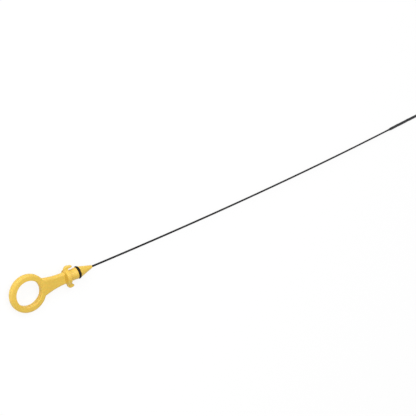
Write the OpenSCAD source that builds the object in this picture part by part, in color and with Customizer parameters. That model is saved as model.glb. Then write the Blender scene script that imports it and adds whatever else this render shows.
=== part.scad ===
// Engine oil dipstick: a moulded handle with a finger ring, a flange with a
// clip hook and a catch, and a sealing plug; an O-ring in the plug's groove;
// and a spring wire whose end is flattened into a blade with two level marks.
// Millimetres. The plug's axis is X, and the origin is where the flange seats.
// The dipstick lies as it comes to rest: on the rim of the flange, on one edge
// of the ring and on the tip of the blade. Its floor is at z = -flange_d / 2.

/* [Finger ring] */
// Diameter of the finger hole
ring_hole_d = 28; // [22:0.1:36]
// Width of the ring's bar, seen from its flat side
ring_bar_w = 6.2; // [5:0.1:9]
// Thickness of the ring's bar
ring_t = 7.2; // [6:0.1:9]
// Radius of the two edges on the outside of the ring
ring_edge_r = 2.4; // [0.8:0.1:2.8]
// Radius of the two edges of the finger hole
ring_hole_edge_r = 1; // [0.4:0.1:2]

/* [Neck] */
// Distance from the ring's centre to the flange's seat
ring_to_seat = 47.6; // [44:0.1:75]
// Width of the neck where it is narrowest
neck_w = 11.9; // [8:0.1:13]
// Thickness of the neck
neck_t = 5.2; // [4:0.1:5.6]
// Radius of the hollow sides that flare into the ring
neck_flare_r = 92; // [80:1:150]
// Length of the parallel part behind the flange
neck_straight = 1; // [0.5:0.1:8]
// Radius of the neck's long edges
neck_edge_r = 1.1; // [0.5:0.1:1.6]
// Length of the ramps from the ring's flat sides down to the neck's
neck_ramp_l = 14; // [6:1:20]

/* [Flange, hook and catch] */
// Diameter of the flange
flange_d = 17; // [16:0.1:22]
// Thickness of the flange
flange_t = 4.2; // [2.6:0.1:5]
// Radius of the flange's rim edges
flange_edge_r = 0.8; // [0.3:0.1:1.2]
// Distance from the plug's axis to the outside of the long hook
hook_out = 11.7; // [10.4:0.1:14]
// Reach of the long hook's lip past the seat
hook_reach = 5.2; // [2.5:0.1:6]
// Distance from the plug's axis to the outside of the short catch
catch_out = 12.6; // [10.8:0.1:14]
// Reach of the short catch's lip past the seat
catch_reach = 3.3; // [2.9:0.1:6]
// Width of the hook and the catch, across the flat side of the ring
hook_w = 4; // [3:0.1:7]
// Thickness of their arms, beside the flange
hook_arm_t = 3.4; // [2.4:0.1:4.6]
// Thickness of the hook's lip
hook_lip_t = 2.7; // [1.8:0.1:3]
// Thickness of the catch's lip
catch_lip_t = 2.8; // [1.8:0.1:3.2]
// Angle at which the backs of the lips fall towards their tips
lip_fall = 12; // [0:1:16]
// Radius of the inside corners of the hook and the catch
hook_inner_r = 1.6; // [0.4:0.1:1.8]
// Outer radius of their bends
hook_bend_r = 2.8; // [2:0.1:4]

/* [Plug] */
// Diameter of the plug behind its lands
plug_d = 12.2; // [11:0.1:12.4]
// Diameter of the land behind the O-ring
land_d = 12.7; // [12.5:0.1:12.9]
// Diameter of the land in front of the O-ring
front_land_d = 12.2; // [12:0.1:12.8]
// Distance from the seat to the rear land
land_from_seat = 6.9; // [5:0.1:10]
// Length of the rear land
rear_land_l = 2.5; // [1.5:0.1:4]
// Length of the front land
front_land_l = 1.2; // [1:0.1:3]
// Length of the cone in front of the lands
cone_l = 14.6; // [10:0.1:20]
// Diameter of the cone where it leaves the front land
cone_d = 11.6; // [9:0.1:11.8]
// Diameter of the nose that the wire leaves
nose_d = 3.1; // [2.9:0.1:4]
// Size of the small chamfers on the plug
plug_chamfer = 0.4; // [0.2:0.1:0.6]

/* [O-ring] */
// Thickness of the O-ring's cord
seal_cord_d = 2.6; // [2.2:0.1:3]
// Outer diameter of the O-ring on its groove
seal_od = 14; // [13.5:0.1:14.4]
// Space on each side of the O-ring in its groove
seal_side_gap = 0.15; // [0.1:0.05:0.4]
// Gap between the O-ring and the floor of its groove
seal_floor_gap = 0.03; // [0.02:0.01:0.1]

/* [Wire] */
// Diameter of the wire
wire_d = 2.1; // [1.6:0.1:2.4]
// Length of wire from the nose to the start of its flattened end
wire_free_l = 471; // [200:1:800]
// Length of wire held in the handle
wire_held_l = 22; // [15:0.1:24]
// Diameter of the upset head that anchors the wire in the handle
wire_head_d = 3.6; // [2.8:0.1:4.5]
// Length of that head
wire_head_l = 2; // [1:0.1:4]
// Gap around the wire in the handle
wire_gap = 0.02; // [0.01:0.01:0.1]
// How far the wire's end stands to the side of the plug's axis
wire_bow = 17.3; // [5:0.1:40]

/* [Measuring blade] */
// Length over which the round wire widens into the blade
flare_l = 8; // [5:0.5:15]
// Length of the blade
blade_l = 62; // [50:1:100]
// Width of the blade
blade_w = 3.6; // [3:0.1:5]
// Thickness of the blade
blade_t = 1.05; // [0.8:0.05:1.6]
// Distance from the blade's tip to the lower level mark
mark_from_tip = 28; // [10:1:30]
// Distance between the two level marks
mark_gap = 22; // [10:1:28]
// Length of a level mark, a jog pressed into the blade's edge
mark_l = 6; // [2:0.5:8]
// How far a level mark stands out
mark_jog = 0.25; // [0.1:0.05:0.6]

/* [Hidden] */
$fn = 96;

ring_r = ring_hole_d / 2 + ring_bar_w;
flange_r = flange_d / 2;

// Roll about the plug's axis that brings the ring's edge down to the floor
edge_across = ring_r - ring_edge_r;
edge_up = ring_t / 2 - ring_edge_r;
roll = asin((flange_r - ring_edge_r) / norm([edge_across, edge_up])) - atan2(edge_up, edge_across);

groove_x = land_from_seat + rear_land_l;
groove_l = seal_cord_d + 2 * seal_side_gap;
groove_d = seal_od - 2 * seal_cord_d - 2 * seal_floor_gap;
front_land_x = groove_x + groove_l;
cone_x = front_land_x + front_land_l;
nose_x = cone_x + cone_l;

neck_back_x = -ring_to_seat + ring_hole_d / 2 + ring_bar_w / 2;
neck_waist_x = -flange_t - neck_straight;

// The wire's free length is one arc, which falls from the plug's axis to the
// floor and bows to the side, and the blade goes straight on and lies flat
end_l = flare_l + blade_l;
wire_l = wire_free_l + end_l;
low_mark = wire_l - mark_from_tip;
wire_drop = flange_r - blade_t / 2;
bow_total = norm([wire_bow, wire_drop]);
bow_r = (wire_free_l * wire_free_l / 2 + wire_free_l * end_l) / bow_total;
bow_angle = wire_free_l / bow_r * 180 / PI;
bow_turn = atan2(wire_drop, wire_bow);

// Steps of the free wire
section_points = 20;
arc_steps = 24;
flare_steps = 8;
mark_steps = 10;
tip_steps = 5;
// The tip is a half round, cut off flat at this share of its length
tip_l = blade_w / 2;
tip_share = 0.95;
// The wire is drawn this much thinner where it enters the nose
root_ratio = 0.97;
root_l = 0.5;

module rounded_bar(w, h, r) {
    square([w - 2 * r, h], center = true);
    square([w, h - 2 * r], center = true);
    for (x = [-1, 1], y = [-1, 1])
        translate([x * (w / 2 - r), y * (h / 2 - r)]) circle(r);
}

// Turns what is drawn about Z so that it stands about X, from x = 0 forwards
module along_x() {
    rotate([0, 90, 0]) children();
}

// The bar of the ring: softly rounded outside, with tighter edges at the hole
module ring_section() {
    outer = ring_edge_r;
    inner = ring_hole_edge_r;
    translate([0, -ring_t / 2 + inner]) square([ring_bar_w - outer, ring_t - 2 * inner]);
    translate([inner, -ring_t / 2]) square([ring_bar_w - inner - outer, ring_t]);
    translate([inner, -ring_t / 2 + outer]) square([ring_bar_w - inner, ring_t - 2 * outer]);
    for (face = [-1, 1]) {
        translate([inner, face * (ring_t / 2 - inner)]) circle(inner);
        translate([ring_bar_w - outer, face * (ring_t / 2 - outer)]) circle(outer);
    }
}

module finger_ring() {
    translate([-ring_to_seat, 0, 0])
        rotate_extrude()
            translate([ring_hole_d / 2, 0])
                ring_section();
}

// The neck seen from its flat side, drawn in by inset on both long sides
module neck_outline(inset) {
    half_w = neck_w / 2;
    translate([neck_waist_x, -half_w + inset])
        square([-neck_waist_x - flange_t / 2, neck_w - 2 * inset]);
    difference() {
        translate([neck_back_x, -ring_r])
            square([neck_waist_x - neck_back_x, 2 * ring_r]);
        for (side = [-1, 1])
            translate([neck_waist_x, side * (neck_flare_r + half_w)])
                circle(neck_flare_r + inset, $fn = 200);
    }
}

// The round long edge of the neck on one side: an arc, then a straight run
module neck_edge(side) {
    axis_y = side * (neck_w / 2 - neck_edge_r);
    translate([neck_waist_x, axis_y, 0])
        along_x() cylinder(r = neck_edge_r, h = -neck_waist_x - flange_t / 2);
    intersection() {
        translate([neck_waist_x, side * (neck_flare_r + neck_w / 2), 0])
            rotate_extrude($fn = 200)
                translate([neck_flare_r + neck_edge_r, 0]) circle(neck_edge_r, $fn = 32);
        translate([neck_back_x, -ring_r, -neck_t])
            cube([neck_waist_x - neck_back_x, 2 * ring_r, 2 * neck_t]);
    }
}

module neck() {
    intersection() {
        union() {
            linear_extrude(neck_t, center = true) neck_outline(neck_edge_r);
            linear_extrude(neck_t - 2 * neck_edge_r, center = true) neck_outline(0);
            for (side = [-1, 1], face = [-1, 1])
                translate([0, 0, face * (neck_t / 2 - neck_edge_r)]) neck_edge(side);
        }
        // Nothing of the flare shows beside the ring
        union() {
            translate([-ring_to_seat, 0, -neck_t]) cylinder(r = ring_r - ring_edge_r, h = 2 * neck_t);
            translate([neck_back_x, -ring_r / 2, -neck_t]) cube([ring_to_seat, ring_r, 2 * neck_t]);
        }
    }
}

// Fills the corner where the ring's round edge would meet the neck
module neck_ramps() {
    ramp_r = ring_r - ring_edge_r;
    intersection() {
        linear_extrude(ring_t, center = true) neck_outline(neck_edge_r / 2);
        translate([-ring_to_seat, 0, 0])
            rotate_extrude()
                polygon([
                    [ring_hole_d / 2 + ring_bar_w / 2, 0],
                    [ramp_r, ring_t / 2],
                    [ramp_r + neck_ramp_l, neck_t / 2],
                    [ramp_r + neck_ramp_l, -neck_t / 2],
                    [ramp_r, -ring_t / 2]
                ]);
    }
}

module flange() {
    translate([-flange_t, 0, 0])
        along_x()
            rotate_extrude()
                intersection() {
                    translate([0, flange_t / 2]) rounded_bar(flange_d, flange_t, flange_edge_r);
                    square([flange_r, flange_t]);
                }
}

// A hook seen from the ring's flat side: an arm beside the flange, a round
// bend and a lip that points forwards
module hook_outline(out, reach, lip_t) {
    bend_x = -hook_arm_t + hook_bend_r;
    inner_y = out - lip_t - hook_inner_r;
    difference() {
        union() {
            translate([-hook_arm_t, 0]) square([hook_arm_t, out - hook_bend_r]);
            translate([bend_x, 0]) square([reach - bend_x - lip_t / 2, out]);
            intersection() {
                translate([bend_x, out - hook_bend_r]) circle(hook_bend_r);
                translate([-hook_arm_t, 0]) square([hook_bend_r, out]);
            }
            translate([reach - lip_t / 2, out - lip_t / 2]) circle(d = lip_t);
        }
        translate([0, out]) rotate(-lip_fall) square([2 * reach, lip_t]);
        translate([hook_inner_r, 0]) square([reach, out - lip_t]);
        square([reach, inner_y]);
        translate([hook_inner_r, inner_y]) circle(hook_inner_r);
    }
}

module hook_and_catch() {
    linear_extrude(hook_w, center = true) {
        hook_outline(hook_out, hook_reach, hook_lip_t);
        mirror([0, 1]) hook_outline(catch_out, catch_reach, catch_lip_t);
    }
}

module plug() {
    plug_r = plug_d / 2;
    land_r = land_d / 2;
    front_r = front_land_d / 2;
    cone_r = cone_d / 2;
    c = plug_chamfer;
    along_x()
        rotate_extrude()
            polygon([
                [0, -flange_t / 2],
                [plug_r + c, -flange_t / 2],
                [plug_r + c, 0],
                [plug_r, c],
                [plug_r, land_from_seat - c],
                [land_r, land_from_seat],
                [land_r, groove_x],
                [groove_d / 2, groove_x],
                [groove_d / 2, front_land_x],
                [front_r, front_land_x],
                [front_r, cone_x - front_r + cone_r],
                [cone_r, cone_x],
                [nose_d / 2, nose_x],
                [0, nose_x]
            ]);
}

// The wire's held end, with its head, grown by gap for the hole it sits in
module held_wire(gap) {
    translate([nose_x - wire_held_l - gap, 0, 0])
        along_x() cylinder(d = wire_head_d + 2 * gap, h = wire_head_l + 2 * gap);
    translate([nose_x - wire_held_l, 0, 0])
        along_x() cylinder(d = wire_d + 2 * gap, h = wire_held_l);
}

// Brings the handle's flat side down to where it rests
module at_rest() {
    rotate([roll, 0, 0]) children();
}

module handle() {
    color("gold")
        at_rest()
            difference() {
                union() {
                    finger_ring();
                    neck();
                    neck_ramps();
                    flange();
                    hook_and_catch();
                    plug();
                }
                held_wire(wire_gap);
            }
}

module o_ring() {
    color("dimgray")
        translate([groove_x + groove_l / 2, 0, 0])
            along_x()
                rotate_extrude()
                    translate([seal_od / 2 - seal_cord_d / 2, 0]) circle(d = seal_cord_d, $fn = 48);
}

// The free wire by the distance s from the nose: its half width, its half
// thickness and how far a level mark pushes it aside
function ease(f) = let (g = min(1, max(0, f))) g * g * (3 - 2 * g);
function widened(s) = ease((s - wire_free_l) / flare_l);
function tip_ratio(s) = let (left = wire_l - s) left >= tip_l ? 1 : sqrt(1 - pow(1 - left / tip_l, 2));
function root_at(s) = s < root_l ? root_ratio : 1;
function half_w_at(s) = (wire_d + (blade_w - wire_d) * widened(s)) / 2 * tip_ratio(s) * root_at(s);
function half_t_at(s) = min(half_w_at(s), (wire_d + (blade_t - wire_d) * widened(s)) / 2 * root_at(s));
function mark_bump(f) = abs(f) >= 1 ? 0 : (1 + cos(180 * f)) / 2;
function pushed_at(s) =
    mark_jog * (mark_bump(2 * (s - low_mark) / mark_l) + mark_bump(2 * (s - low_mark + mark_gap) / mark_l));

// The wire's middle at s, in the plane that it bows in, and its direction
function heading_at(s) = min(max(s, 0), wire_free_l) / bow_r * 180 / PI;
function middle_at(s) =
    let (a = heading_at(s), past = s < 0 ? s : max(0, s - wire_free_l))
    [bow_r * sin(a) + past * cos(a), bow_r * (1 - cos(a)) + past * sin(a)];

// The outline at s: two half circles with a straight run between them, turned
// so that the blade lies flat on the floor
function section_at(s) =
    let (m = middle_at(s), a = heading_at(s), r = half_t_at(s), run = half_w_at(s) - r) [
        for (i = [0 : section_points - 1])
            let (
                b = 360 * (i + 0.5) / section_points,
                across = pushed_at(s) + (cos(b) > 0 ? run : -run) + r * cos(b),
                up = r * sin(b),
                u = across * cos(bow_turn) - up * sin(bow_turn),
                v = across * sin(bow_turn) + up * cos(bow_turn)
            )
            [m.x - u * sin(a), m.y + u * cos(a), v]
    ];

module free_wire() {
    tip_x = wire_l - tip_l;
    stations = concat(
        [-root_l],
        [for (i = [0 : arc_steps - 1]) root_l + (wire_free_l - root_l) * i / arc_steps],
        [for (i = [0 : flare_steps]) wire_free_l + flare_l * i / flare_steps],
        [
            for (mark = [low_mark - mark_gap, low_mark], i = [0 : mark_steps])
                mark + mark_l * (i / mark_steps - 0.5)
        ],
        [for (i = [0 : tip_steps]) tip_x + tip_share * tip_l * sin(90 * i / tip_steps)]
    );
    count = len(stations);
    n = section_points;
    polyhedron(
        points = [for (s = stations) each section_at(s)],
        faces = concat(
            [[for (i = [0 : n - 1]) i]],
            [[for (i = [0 : n - 1]) count * n - 1 - i]],
            [
                for (k = [0 : count - 2], i = [0 : n - 1], half = [0, 1])
                    let (a = k * n + i, b = k * n + (i + 1) % n)
                    half == 0 ? [a, b + n, b] : [a, a + n, b + n]
            ]
        )
    );
}

module wire() {
    color("dimgray") {
        held_wire(0);
        translate([nose_x, 0, 0])
            rotate([-bow_turn, 0, 0])
                free_wire();
    }
}

handle();
o_ring();
wire();
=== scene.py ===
import math
import bpy
import bmesh
from mathutils import Matrix, Quaternion, Vector


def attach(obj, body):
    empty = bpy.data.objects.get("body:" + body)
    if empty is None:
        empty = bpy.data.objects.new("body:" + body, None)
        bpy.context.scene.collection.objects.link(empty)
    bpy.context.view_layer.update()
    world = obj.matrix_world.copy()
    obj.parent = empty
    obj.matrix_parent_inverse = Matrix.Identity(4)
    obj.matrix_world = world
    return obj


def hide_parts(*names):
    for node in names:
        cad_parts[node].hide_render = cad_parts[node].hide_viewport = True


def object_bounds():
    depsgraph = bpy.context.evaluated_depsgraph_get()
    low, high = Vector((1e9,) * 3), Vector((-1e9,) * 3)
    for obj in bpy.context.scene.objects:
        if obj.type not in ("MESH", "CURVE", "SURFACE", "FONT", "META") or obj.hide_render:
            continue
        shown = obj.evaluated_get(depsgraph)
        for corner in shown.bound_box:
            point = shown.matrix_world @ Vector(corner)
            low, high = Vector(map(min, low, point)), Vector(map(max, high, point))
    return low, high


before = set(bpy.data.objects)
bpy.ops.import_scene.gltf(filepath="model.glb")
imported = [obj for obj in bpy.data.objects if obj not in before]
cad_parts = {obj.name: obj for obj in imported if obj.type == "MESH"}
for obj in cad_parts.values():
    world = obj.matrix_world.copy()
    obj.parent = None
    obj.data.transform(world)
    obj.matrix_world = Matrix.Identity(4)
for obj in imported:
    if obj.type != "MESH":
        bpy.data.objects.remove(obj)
cad_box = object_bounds()

MM = 0.001

# The camera's place, the floor point that it looks at, its roll and its lens
CAMERA_AT = Vector((-0.35578, 0.14451, 0.86730))
CAMERA_AIM = Vector((0.19358, 0.00886, -0.0085))
CAMERA_ROLL = math.radians(83.9015)
LENS_MM = 77.88
SENSOR_MM = 36

# The handle's sizes that the finish needs
ROLL = math.radians(16.1371)
CONE_X = 13.5 * MM
NOSE_X = 28.1 * MM
RING_X = -47.6 * MM
HOLE_R = 14 * MM
BAR_W = 6.2 * MM
BAR_T = 7.2 * MM
RING_EDGE_R = 2.4 * MM
HOLE_EDGE_R = 1 * MM
NECK_W = 11.9 * MM
NECK_T = 5.2 * MM
NECK_EDGE_R = 1.1 * MM
NECK_FLARE_R = 92 * MM
NECK_WAIST_X = -5.2 * MM
BORE_R = 1.07 * MM
HEAD_R = 1.82 * MM
HEAD_END_X = 8.3 * MM
FLANGE_D = 17 * MM
FLANGE_R = FLANGE_D / 2

# The hook and the catch lie in front of this
HOOK_BACK_X = -5.1 * MM

# How far inside a bar's edge its thickness is read, so that it is never nothing
EDGE_INSET = 0.03 * MM

# The directions across the ring's flat sides, and sideways along them
ACROSS = Vector((0, -math.sin(ROLL), math.cos(ROLL)))
ALONG_FLAT = Vector((0, math.cos(ROLL), math.sin(ROLL)))

# The O-ring's sizes
SEAL_X = 10.85 * MM
SEAL_OD = 14 * MM
SEAL_CORD = 2.6 * MM

# The wire's sizes
WIRE_D = 2.1 * MM
WIRE_FREE_L = 471 * MM
WIRE_BOW = 17.3 * MM
FLARE_L = 8 * MM
BLADE_L = 62 * MM
BLADE_W = 3.6 * MM
BLADE_T = 1.05 * MM
MARK_FROM_TIP = 28 * MM
MARK_GAP = 22 * MM
MARK_L = 6 * MM
MARK_JOG = 0.25 * MM
TIP_SHARE = 0.95
WIRE_L = WIRE_FREE_L + FLARE_L + BLADE_L
LOW_MARK = WIRE_L - MARK_FROM_TIP
BLADE_X = NOSE_X + WIRE_FREE_L + FLARE_L

# The wire's free length is one arc that falls to the floor and bows aside
DROP = FLANGE_R - BLADE_T / 2
END_L = FLARE_L + BLADE_L
BOW_R = (WIRE_FREE_L ** 2 / 2 + WIRE_FREE_L * END_L) / math.hypot(WIRE_BOW, DROP)
BOW_TURN = math.atan2(DROP, WIRE_BOW)

# The colours of the pieces, the floor and the light
PLASTIC_DEEP = (0.69, 0.458, 0.060, 1)
PLASTIC_PALE = (0.75, 0.498, 0.071, 1)
RUBBER_BLACK = (0.003, 0.003, 0.003, 1)
RUBBER_BLOOM = (0.008, 0.007, 0.006, 1)
STEEL_DARK = (0.017, 0.017, 0.018, 1)
STEEL_STREAK = (0.031, 0.030, 0.030, 1)
# A paler steel colour that the flattened blade is given
STEEL_BLADE_PALE = (0.046, 0.046, 0.048, 1)
FLOOR_PALE = (0.9, 0.9, 0.9, 1)
WHITE = (1, 1, 1, 1)


class Nodes:
    """Adds shader nodes to one material or world and links them by name."""

    def __init__(self, tree):
        self.tree = tree
        tree.nodes.clear()

    def add(self, kind, values=None, **settings):
        """A new node, with its settings and its inputs' values."""
        node = self.tree.nodes.new(kind)
        for name, value in settings.items():
            setattr(node, name, value)
        for name, value in (values or {}).items():
            node.inputs[name].default_value = value
        return node

    def join(self, out_socket, in_socket):
        """Links an output to an input."""
        self.tree.links.new(out_socket, in_socket)


def new_material(name):
    """An empty material and its nodes."""
    material = bpy.data.materials.new(name)
    material.use_nodes = True
    return material, Nodes(material.node_tree)


def object_points(n, scale):
    """Object coordinates, in units of 1 / scale metres."""
    points = n.add("ShaderNodeTexCoord")
    mapping = n.add("ShaderNodeMapping", {"Scale": scale})
    n.join(points.outputs["Object"], mapping.inputs["Vector"])
    return mapping.outputs["Vector"]


def noise_between(n, points, detail, low, high):
    """Noise that runs from low to high."""
    noise = n.add("ShaderNodeTexNoise", {"Scale": 1.0, "Detail": detail, "Roughness": 0.5})
    spread = n.add(
        "ShaderNodeMapRange", {"From Min": 0.25, "From Max": 0.75, "To Min": low, "To Max": high}
    )
    n.join(points, noise.inputs["Vector"])
    n.join(noise.outputs["Fac"], spread.inputs["Value"])
    return spread.outputs["Result"]


def plain_shader(n, values):
    """A shader joined to the material's output."""
    out = n.add("ShaderNodeOutputMaterial")
    shader = n.add("ShaderNodeBsdfPrincipled", values)
    n.join(shader.outputs["BSDF"], out.inputs["Surface"])
    return shader


def blend_colours(n, share, first, second):
    """A colour that runs from the first to the second as the share goes from 0 to 1."""
    mix = n.add("ShaderNodeMix", data_type="RGBA")
    mix.inputs["A"].default_value = first
    mix.inputs["B"].default_value = second
    n.join(share, mix.inputs["Factor"])
    return mix


def roughen(n, shader, relief, strength, depth):
    """Gives the surface a fine relief."""
    bump = n.add("ShaderNodeBump", {"Strength": strength, "Distance": depth})
    n.join(relief, bump.inputs["Height"])
    n.join(bump.outputs["Normal"], shader.inputs["Normal"])


def handle_plastic():
    """Yellow moulded plastic: faint flow marks, a fine eroded grain and a half gloss."""
    flow_scale = (45, 120, 120)
    gloss_scale = (300, 300, 300)
    grain_scale = (3500, 3500, 3500)
    grain_depth = 0.02 * MM
    material, n = new_material("handle_plastic")
    shader = plain_shader(
        n,
        {"IOR": 1.5, "Subsurface Weight": 0.08, "Subsurface Scale": 0.002,
         "Coat Weight": 0.1, "Coat Roughness": 0.3},
    )
    flow = noise_between(n, object_points(n, flow_scale), 3, 0.0, 1.0)
    tint = blend_colours(n, flow, PLASTIC_DEEP, PLASTIC_PALE)
    n.join(tint.outputs["Result"], shader.inputs["Base Color"])
    gloss = noise_between(n, object_points(n, gloss_scale), 4, 0.42, 0.54)
    n.join(gloss, shader.inputs["Roughness"])
    grain = noise_between(n, object_points(n, grain_scale), 2, 0.0, 1.0)
    roughen(n, shader, grain, 0.25, grain_depth)
    return material


def seal_rubber():
    """Black rubber with a faint bloom and a skin of fine pores."""
    bloom_scale = (900, 900, 900)
    gloss_scale = (700, 700, 700)
    pore_scale = (6000, 6000, 6000)
    pore_depth = 0.01 * MM
    material, n = new_material("seal_rubber")
    shader = plain_shader(n, {"IOR": 1.3})
    bloom = noise_between(n, object_points(n, bloom_scale), 3, 0.0, 1.0)
    tint = blend_colours(n, bloom, RUBBER_BLACK, RUBBER_BLOOM)
    n.join(tint.outputs["Result"], shader.inputs["Base Color"])
    gloss = noise_between(n, object_points(n, gloss_scale), 3, 0.45, 0.62)
    n.join(gloss, shader.inputs["Roughness"])
    pores = noise_between(n, object_points(n, pore_scale), 2, 0.0, 1.0)
    roughen(n, shader, pores, 0.3, pore_depth)
    return material


def past_flare(n):
    """0 on the round wire and 1 on the blade, which is coloured a little brighter."""
    points = n.add("ShaderNodeTexCoord")
    parts = n.add("ShaderNodeSeparateXYZ")
    ramp = n.add("ShaderNodeMapRange", {"From Min": BLADE_X - FLARE_L, "From Max": BLADE_X})
    n.join(points.outputs["Object"], parts.inputs["Vector"])
    n.join(parts.outputs["X"], ramp.inputs["Value"])
    return ramp.outputs["Result"]


def wire_steel():
    """Dark phosphated spring steel, matt, with drawn streaks along the wire."""
    streak_scale = (60, 2200, 2200)
    gloss_scale = (120, 900, 900)
    streak_depth = 0.01 * MM
    material, n = new_material("wire_steel")
    shader = plain_shader(n, {"IOR": 1.25, "Specular IOR Level": 0.1})
    streaks = noise_between(n, object_points(n, streak_scale), 3, 0.0, 1.0)
    tint = blend_colours(n, streaks, STEEL_DARK, STEEL_STREAK)
    # The blade is coloured a paler steel than the round wire
    blade_tint = blend_colours(n, past_flare(n), STEEL_DARK, STEEL_BLADE_PALE)
    n.join(tint.outputs["Result"], blade_tint.inputs["A"])
    n.join(blade_tint.outputs["Result"], shader.inputs["Base Color"])
    gloss = noise_between(n, object_points(n, gloss_scale), 3, 0.55, 0.72)
    n.join(gloss, shader.inputs["Roughness"])
    roughen(n, shader, streaks, 0.2, streak_depth)
    return material


def new_piece(name, bm, material, slot, *nodes):
    """A finished piece of the dipstick, which stands for the CAD nodes named."""
    mesh = bpy.data.meshes.new(name)
    bm.to_mesh(mesh)
    bm.free()
    mesh.polygons.foreach_set("use_smooth", [True] * len(mesh.polygons))
    piece = bpy.data.objects.new(name, mesh)
    bpy.context.scene.collection.objects.link(piece)
    mesh.materials.append(material)
    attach(piece, "root")
    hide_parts(*nodes)
    return piece


def keep_in_box(piece):
    """Takes back the hair by which the finish would leave the part's box."""
    low, high = cad_box
    for v in piece.data.vertices:
        v.co = [min(max(c, a), b) for c, a, b in zip(v.co, low, high)]


def bake_modifiers(piece):
    """Puts the result of the piece's modifiers into its mesh."""
    shown = piece.evaluated_get(bpy.context.evaluated_depsgraph_get())
    mesh = bpy.data.meshes.new_from_object(shown)
    piece.modifiers.clear()
    piece.data = mesh
    mesh.polygons.foreach_set("use_smooth", [True] * len(mesh.polygons))


def close_wire_hole(bm):
    """Takes the hole for the wire out of the handle, since the wire fills it."""
    margin = 0.1 * MM
    on_nose = 0.01 * MM
    inside = []
    for v in bm.verts:
        off_axis = math.hypot(v.co.y, v.co.z)
        by_bore = off_axis < BORE_R + margin
        by_head = off_axis < HEAD_R + margin and v.co.x < HEAD_END_X + margin
        if v.co.x > 0 and (by_bore or by_head):
            inside.append(v)
    rim = [v for v in inside if abs(v.co.x - NOSE_X) < on_nose]
    bmesh.ops.delete(bm, geom=[v for v in inside if v not in rim], context="VERTS")
    open_edges = [e for e in bm.edges if e.is_boundary]
    bmesh.ops.holes_fill(bm, edges=open_edges)


def mould_handle(material):
    """The handle with the soft edges and small blends of a moulding."""
    voxel = 0.22 * MM
    merge_within = 0.001 * MM
    soft_passes = 9
    last_passes = 2
    kept_share = 0.62
    bm = bmesh.new()
    bm.from_mesh(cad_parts["handle"].data)
    bmesh.ops.remove_doubles(bm, verts=bm.verts, dist=merge_within)
    close_wire_hole(bm)
    piece = new_piece("handle_moulding", bm, material, "handle_plastic", "handle")
    remesh = piece.modifiers.new("skin", "REMESH")
    remesh.mode = "VOXEL"
    remesh.voxel_size = voxel
    blend_edges(piece, soft_passes)
    bake_modifiers(piece)
    fill_hook_roots(piece)
    soften_hooks(piece)
    round_ring(piece)
    round_neck(piece)
    blend_edges(piece, last_passes)
    thin = piece.modifiers.new("thin", "DECIMATE")
    thin.ratio = kept_share
    bake_modifiers(piece)
    raise_parting_line(piece)
    return piece


def blend_edges(piece, passes):
    """Softens all the edges of the piece a little."""
    smooth = piece.modifiers.new("blend", "SMOOTH")
    smooth.factor = 0.5
    smooth.iterations = passes


def ease(f):
    """0 up to 0 and 1 from 1, with a soft rise between."""
    g = min(1.0, max(0.0, f))
    return g * g * (3 - 2 * g)


def rounded(depth, radius):
    """How much lower a round edge is than its flat side, at depth from the edge."""
    if depth >= radius:
        return 0
    return radius - math.sqrt(max(0, radius ** 2 - (radius - depth) ** 2))


def half_bar(q, hole_edge_r, edge_r):
    """Half the ring bar's thickness at q from the hole."""
    q = min(max(q, EDGE_INSET), BAR_W - EDGE_INSET)
    return BAR_T / 2 - rounded(q, hole_edge_r) - rounded(BAR_W - q, edge_r)


def round_ring(piece):
    """Makes the ring's bar rounder outside and crisp at the hole, with flats that fall a little."""
    wider = 0.2 * MM
    edge_r = 3.2 * MM
    hole_edge_r = 0.4 * MM
    fall = 0.1
    margin = 0.4 * MM
    neck_side = math.radians(25)
    clear_of_neck = math.radians(60)
    centre = Vector((RING_X, 0, 0))
    for v in piece.data.vertices:
        height = (v.co - centre).dot(ACROSS)
        flat = v.co - centre - ACROSS * height
        q = flat.length - HOLE_R
        if -margin < q < BAR_W + margin:
            turn = math.acos(max(-1, min(1, flat.x / flat.length)))
            share = ease((turn - neck_side) / (clear_of_neck - neck_side))
            change = half_bar(q, hole_edge_r, edge_r) / half_bar(q, HOLE_EDGE_R, RING_EDGE_R) - 1
            v.co += ACROSS * height * change * share
            lift = fall * (BAR_W / 2 - q) * ease(abs(height) / (BAR_T / 2)) * share
            v.co += ACROSS * math.copysign(lift, height)
            beside = math.sin(turn) ** 2
            v.co += flat.normalized() * wider * ease(q / (BAR_W / 2)) * share * beside


def round_neck(piece):
    """Makes the neck's long edges rounder and the neck a little fuller between them."""
    edge_r = 2.3 * MM
    fuller = 0.45 * MM
    wider = 0.32 * MM
    start = -32 * MM
    end = -4.4 * MM
    rear_blend = 5 * MM
    front_blend = 1 * MM
    reach_past_edge = 0.5 * MM
    for v in piece.data.vertices:
        if start < v.co.x < end:
            height = v.co.dot(ACROSS)
            aside = abs(v.co.dot(ALONG_FLAT))
            back = min(0, v.co.x - NECK_WAIST_X)
            edge = NECK_W / 2 + NECK_FLARE_R - math.sqrt(NECK_FLARE_R ** 2 - back ** 2)
            depth = max(EDGE_INSET, edge - aside)
            old = NECK_T / 2 - rounded(depth, NECK_EDGE_R)
            new = NECK_T / 2 + fuller - rounded(depth, edge_r)
            share = ease((v.co.x - start) / rear_blend) * ease((end - v.co.x) / front_blend)
            if edge - aside > -reach_past_edge:
                v.co += ACROSS * height * (new / old - 1) * share
                side = math.copysign(wider, v.co.dot(ALONG_FLAT))
                v.co += ALONG_FLAT * side * ease(1 - depth / edge_r) * share


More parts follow.
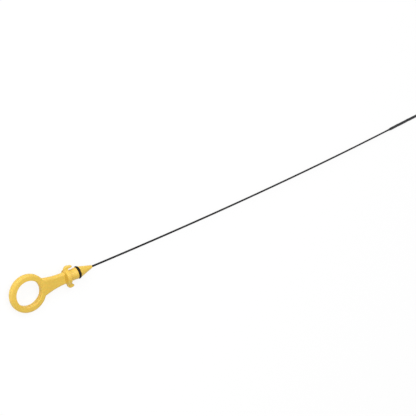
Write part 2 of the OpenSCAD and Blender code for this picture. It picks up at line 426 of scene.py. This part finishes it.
def fill_hook_roots(piece):
    """Fills the hook's back out to the flange's rear, and the catch's inner corner."""
    rim_inset = 0.1 * MM
    back_fill = 0.9 * MM
    back_depth = 3.4 * MM
    back_height = 2.6 * MM
    corner_fill = 0.8 * MM
    corner_depth = 1.7 * MM
    corner_reach = 4.5 * MM
    blend = 0.4 * MM
    for v in piece.data.vertices:
        past_rim = math.hypot(v.co.y, v.co.z) - FLANGE_R + rim_inset
        if v.co.x > HOOK_BACK_X and past_rim > 0:
            root = ease(past_rim / blend)
            if v.co.dot(ALONG_FLAT) > 0:
                low = 1 - ease(past_rim / back_height)
                v.co.x -= back_fill * ease(-v.co.x / back_depth) * low * root
            else:
                near_face = ease(1 + v.co.x / corner_depth) * ease(1 - v.co.x / corner_reach)
                v.co.x += corner_fill * near_face * root


def soften_hooks(piece):
    """Rounds the hook and the catch more than the rest, outside the flange's rim."""
    outside = FLANGE_R + 0.3 * MM
    lost = 0.14 * MM
    passes = 22
    bm = bmesh.new()
    bm.from_mesh(piece.data)
    front = [v for v in bm.verts if v.co.x > HOOK_BACK_X]
    hooks = [v for v in front if math.hypot(v.co.y, v.co.z) > outside]
    for _ in range(passes):
        bmesh.ops.smooth_vert(
            bm, verts=hooks, factor=0.5, use_axis_x=True, use_axis_y=True, use_axis_z=True
        )
    bm.normal_update()
    for v in hooks:
        v.co += v.normal * lost
    bm.to_mesh(piece.data)
    bm.free()


def raise_parting_line(piece):
    """The fine line where the halves of the mould met, in the ring's plane."""
    half_w = 0.12 * MM
    height = 0.05 * MM
    near = 0.03 * MM
    bm = bmesh.new()
    bm.from_mesh(piece.data)
    for off in (-half_w, 0, half_w):
        bmesh.ops.bisect_plane(
            bm, geom=bm.verts[:] + bm.edges[:] + bm.faces[:], dist=near,
            plane_co=ACROSS * off, plane_no=ACROSS,
        )
    bm.normal_update()
    for v in bm.verts:
        by_seal = 0 < v.co.x < CONE_X
        if abs(v.co.dot(ACROSS)) < near and not by_seal:
            v.co += v.normal * height
    bm.to_mesh(piece.data)
    bm.free()


def turn_o_ring(material):
    """The O-ring, with the fine flash line that its mould leaves on it."""
    cord_r = SEAL_CORD / 2
    mid_r = SEAL_OD / 2 - cord_r
    flash = 0.06 * MM
    on_parting = 0.01 * MM
    points_round_cord = 48
    steps_round_ring = 128
    upright = Matrix.Rotation(math.pi / 2, 3, "Z")
    bm = bmesh.new()
    cord = bmesh.ops.create_circle(
        bm, cap_ends=False, segments=points_round_cord, radius=cord_r - flash
    )
    for v in cord["verts"]:
        if abs(v.co.y) < on_parting:
            v.co.x *= cord_r / (cord_r - flash)
    bmesh.ops.rotate(bm, verts=bm.verts, cent=(0, 0, 0), matrix=upright)
    bmesh.ops.translate(bm, verts=bm.verts, vec=(SEAL_X, mid_r, 0))
    bmesh.ops.spin(
        bm, geom=bm.verts[:] + bm.edges[:], cent=(SEAL_X, 0, 0), axis=(1, 0, 0), dvec=(0, 0, 0),
        angle=2 * math.pi, steps=steps_round_ring, use_merge=True, use_duplicate=False,
    )
    bmesh.ops.recalc_face_normals(bm, faces=bm.faces)
    return new_piece("sealing_ring", bm, material, "seal_rubber", "o_ring")


def wire_frame(s):
    """Where the wire's middle is at s from the nose, and how its section lies there."""
    heading = min(max(s, 0), WIRE_FREE_L) / BOW_R
    past = s if s < 0 else max(0, s - WIRE_FREE_L)
    along = BOW_R * math.sin(heading) + past * math.cos(heading)
    aside = BOW_R * (1 - math.cos(heading)) + past * math.sin(heading)
    plane = Matrix.Translation((NOSE_X, 0, 0)) @ Matrix.Rotation(-BOW_TURN, 4, "X")
    return (
        plane @ Matrix.Translation((along, aside, 0))
        @ Matrix.Rotation(heading, 4, "Z") @ Matrix.Rotation(BOW_TURN, 4, "X")
    )


def mark_push(s):
    """How far a level mark pushes the blade aside at s."""
    push = 0
    for mark in (LOW_MARK - MARK_GAP, LOW_MARK):
        f = abs(s - mark) / (MARK_L / 2)
        if f < 1:
            push += MARK_JOG * (1 + math.cos(math.pi * f)) / 2
    return push


def wire_section(s, angle):
    """A point of the outline at s: a circle at first, then flat with round edges."""
    flat = ease((s - WIRE_FREE_L) / FLARE_L)
    tip = BLADE_W / 2
    left = WIRE_L - s
    tip_ratio = 1 if left >= tip else math.sqrt(max(0, 1 - (1 - left / tip) ** 2))
    half_w = (WIRE_D + (BLADE_W - WIRE_D) * flat) / 2 * tip_ratio
    half_t = min(half_w, (WIRE_D + (BLADE_T - WIRE_D) * flat) / 2)
    run = math.copysign(half_w - half_t, math.cos(angle))
    return Vector((0, mark_push(s) + run + half_t * math.cos(angle), half_t * math.sin(angle)))


def wire_stations():
    """The places along the wire at which its outline is drawn, from just inside the nose."""
    inside_nose = 2 * MM
    arc_steps = 60
    flare_steps = 16
    mark_steps = 20
    tip_steps = 10
    arc = [WIRE_FREE_L * i / arc_steps for i in range(arc_steps)]
    flare = [WIRE_FREE_L + FLARE_L * i / flare_steps for i in range(flare_steps + 1)]
    marks = []
    for mark in (LOW_MARK - MARK_GAP, LOW_MARK):
        marks += [mark + MARK_L * (i / mark_steps - 0.5) for i in range(mark_steps + 1)]
    tip = BLADE_W / 2
    turns = [math.pi / 2 * i / tip_steps for i in range(tip_steps + 1)]
    end = [WIRE_L - tip + TIP_SHARE * tip * math.sin(turn) for turn in turns]
    return [-inside_nose] + arc + flare + marks + end


def draw_wire(material):
    """The wire: a ring of points is drawn out along it, station by station."""
    count = 40
    angles = [2 * math.pi * (i + 0.5) / count for i in range(count)]
    stations = wire_stations()
    bm = bmesh.new()
    bmesh.ops.create_circle(bm, cap_ends=True, segments=count, radius=WIRE_D / 2)
    bm.verts.ensure_lookup_table()
    loop = bm.verts[:]
    edges = bm.edges[:]
    for number, s in enumerate(stations):
        if number:
            drawn = bmesh.ops.extrude_edge_only(bm, edges=edges)["geom"]
            new = [g for g in drawn if isinstance(g, bmesh.types.BMVert)]
            step = {}
            for v in loop:
                for e in v.link_edges:
                    if e.other_vert(v) in new:
                        step[v] = e.other_vert(v)
            loop = [step[v] for v in loop]
            edges = [bm.edges.get((a, b)) for a, b in zip(loop, loop[1:] + loop[:1])]
        place = wire_frame(s)
        for v, angle in zip(loop, angles):
            v.co = place @ wire_section(s, angle)
    bmesh.ops.holes_fill(bm, edges=edges)
    bmesh.ops.recalc_face_normals(bm, faces=bm.faces)
    return new_piece("dip_wire", bm, material, "wire_steel", "wire")


def set_camera():
    """Sees the dipstick as the photo does."""
    data = bpy.data.cameras.new("camera")
    data.lens = LENS_MM
    data.sensor_width = SENSOR_MM
    data.clip_start = 0.01
    data.clip_end = 50
    camera = bpy.data.objects.new("camera", data)
    bpy.context.scene.collection.objects.link(camera)
    camera.location = CAMERA_AT
    camera.rotation_mode = "QUATERNION"
    level = (CAMERA_AIM - CAMERA_AT).to_track_quat("-Z", "Y")
    camera.rotation_quaternion = level @ Quaternion((0, 0, 1), CAMERA_ROLL)
    bpy.context.scene.camera = camera


def seen_by_eye(n):
    """1 for what the camera sees, straight or through a clear thing."""
    path = n.add("ShaderNodeLightPath")
    most = n.add("ShaderNodeMath", operation="MAXIMUM")
    n.join(path.outputs["Is Camera Ray"], most.inputs[0])
    n.join(path.outputs["Is Transmission Ray"], most.inputs[1])
    return most.outputs[0]


def lay_floor():
    """A pale floor that shows almost white and keeps a soft shadow."""
    floor_share = 0.87
    half_size = 12
    bm = bmesh.new()
    bmesh.ops.create_grid(bm, x_segments=1, y_segments=1, size=half_size)
    mesh = bpy.data.meshes.new("floor")
    bm.to_mesh(mesh)
    bm.free()
    mesh.transform(Matrix.Translation((0, 0, cad_box[0].z)))
    floor = bpy.data.objects.new("floor", mesh)
    bpy.context.scene.collection.objects.link(floor)
    material, n = new_material("floor")
    out = n.add("ShaderNodeOutputMaterial")
    matt = n.add("ShaderNodeBsdfDiffuse", {"Color": FLOOR_PALE})
    glow = n.add("ShaderNodeEmission", {"Color": WHITE, "Strength": 1.0})
    share = n.add("ShaderNodeMath", operation="MULTIPLY")
    share.inputs[1].default_value = floor_share
    mix = n.add("ShaderNodeMixShader")
    n.join(seen_by_eye(n), share.inputs[0])
    n.join(share.outputs[0], mix.inputs["Fac"])
    n.join(matt.outputs["BSDF"], mix.inputs[1])
    n.join(glow.outputs["Emission"], mix.inputs[2])
    n.join(mix.outputs["Shader"], out.inputs["Surface"])
    mesh.materials.append(material)


def soft_lamp(name, place, watts):
    """A square soft lamp that faces the handle."""
    side = 0.9
    data = bpy.data.lights.new(name, "AREA")
    data.shape = "SQUARE"
    data.size = side
    data.energy = watts
    lamp = bpy.data.objects.new(name, data)
    bpy.context.scene.collection.objects.link(lamp)
    lamp.location = place
    lamp.rotation_mode = "QUATERNION"
    lamp.rotation_quaternion = (-Vector(place)).to_track_quat("-Z", "Y")


def light_studio():
    """Four soft lamps and an even white surround."""
    sky_light = 0.52
    soft_lamp("key_lamp", (-0.35, 1.34, 0.80), 9)
    soft_lamp("ring_lamp", (-1.39, 0.0, 0.80), 6)
    soft_lamp("side_lamp", (0.40, 0.69, 1.39), 8)
    soft_lamp("top_lamp", (0.0, 0.0, 1.60), 5)
    world = bpy.data.worlds.new("studio")
    world.use_nodes = True
    bpy.context.scene.world = world
    n = Nodes(world.node_tree)
    out = n.add("ShaderNodeOutputWorld")
    light = n.add("ShaderNodeBackground", {"Color": WHITE, "Strength": sky_light})
    shown = n.add("ShaderNodeBackground", {"Color": WHITE, "Strength": 1.0})
    mix = n.add("ShaderNodeMixShader")
    n.join(seen_by_eye(n), mix.inputs["Fac"])
    n.join(light.outputs["Background"], mix.inputs[1])
    n.join(shown.outputs["Background"], mix.inputs[2])
    n.join(mix.outputs["Shader"], out.inputs["Surface"])


def main():
    """Sets the scene and makes the three pieces."""
    bpy.context.scene.view_settings.view_transform = "Standard"
    set_camera()
    lay_floor()
    light_studio()
    keep_in_box(mould_handle(handle_plastic()))
    keep_in_box(turn_o_ring(seal_rubber()))
    keep_in_box(draw_wire(wire_steel()))


main()
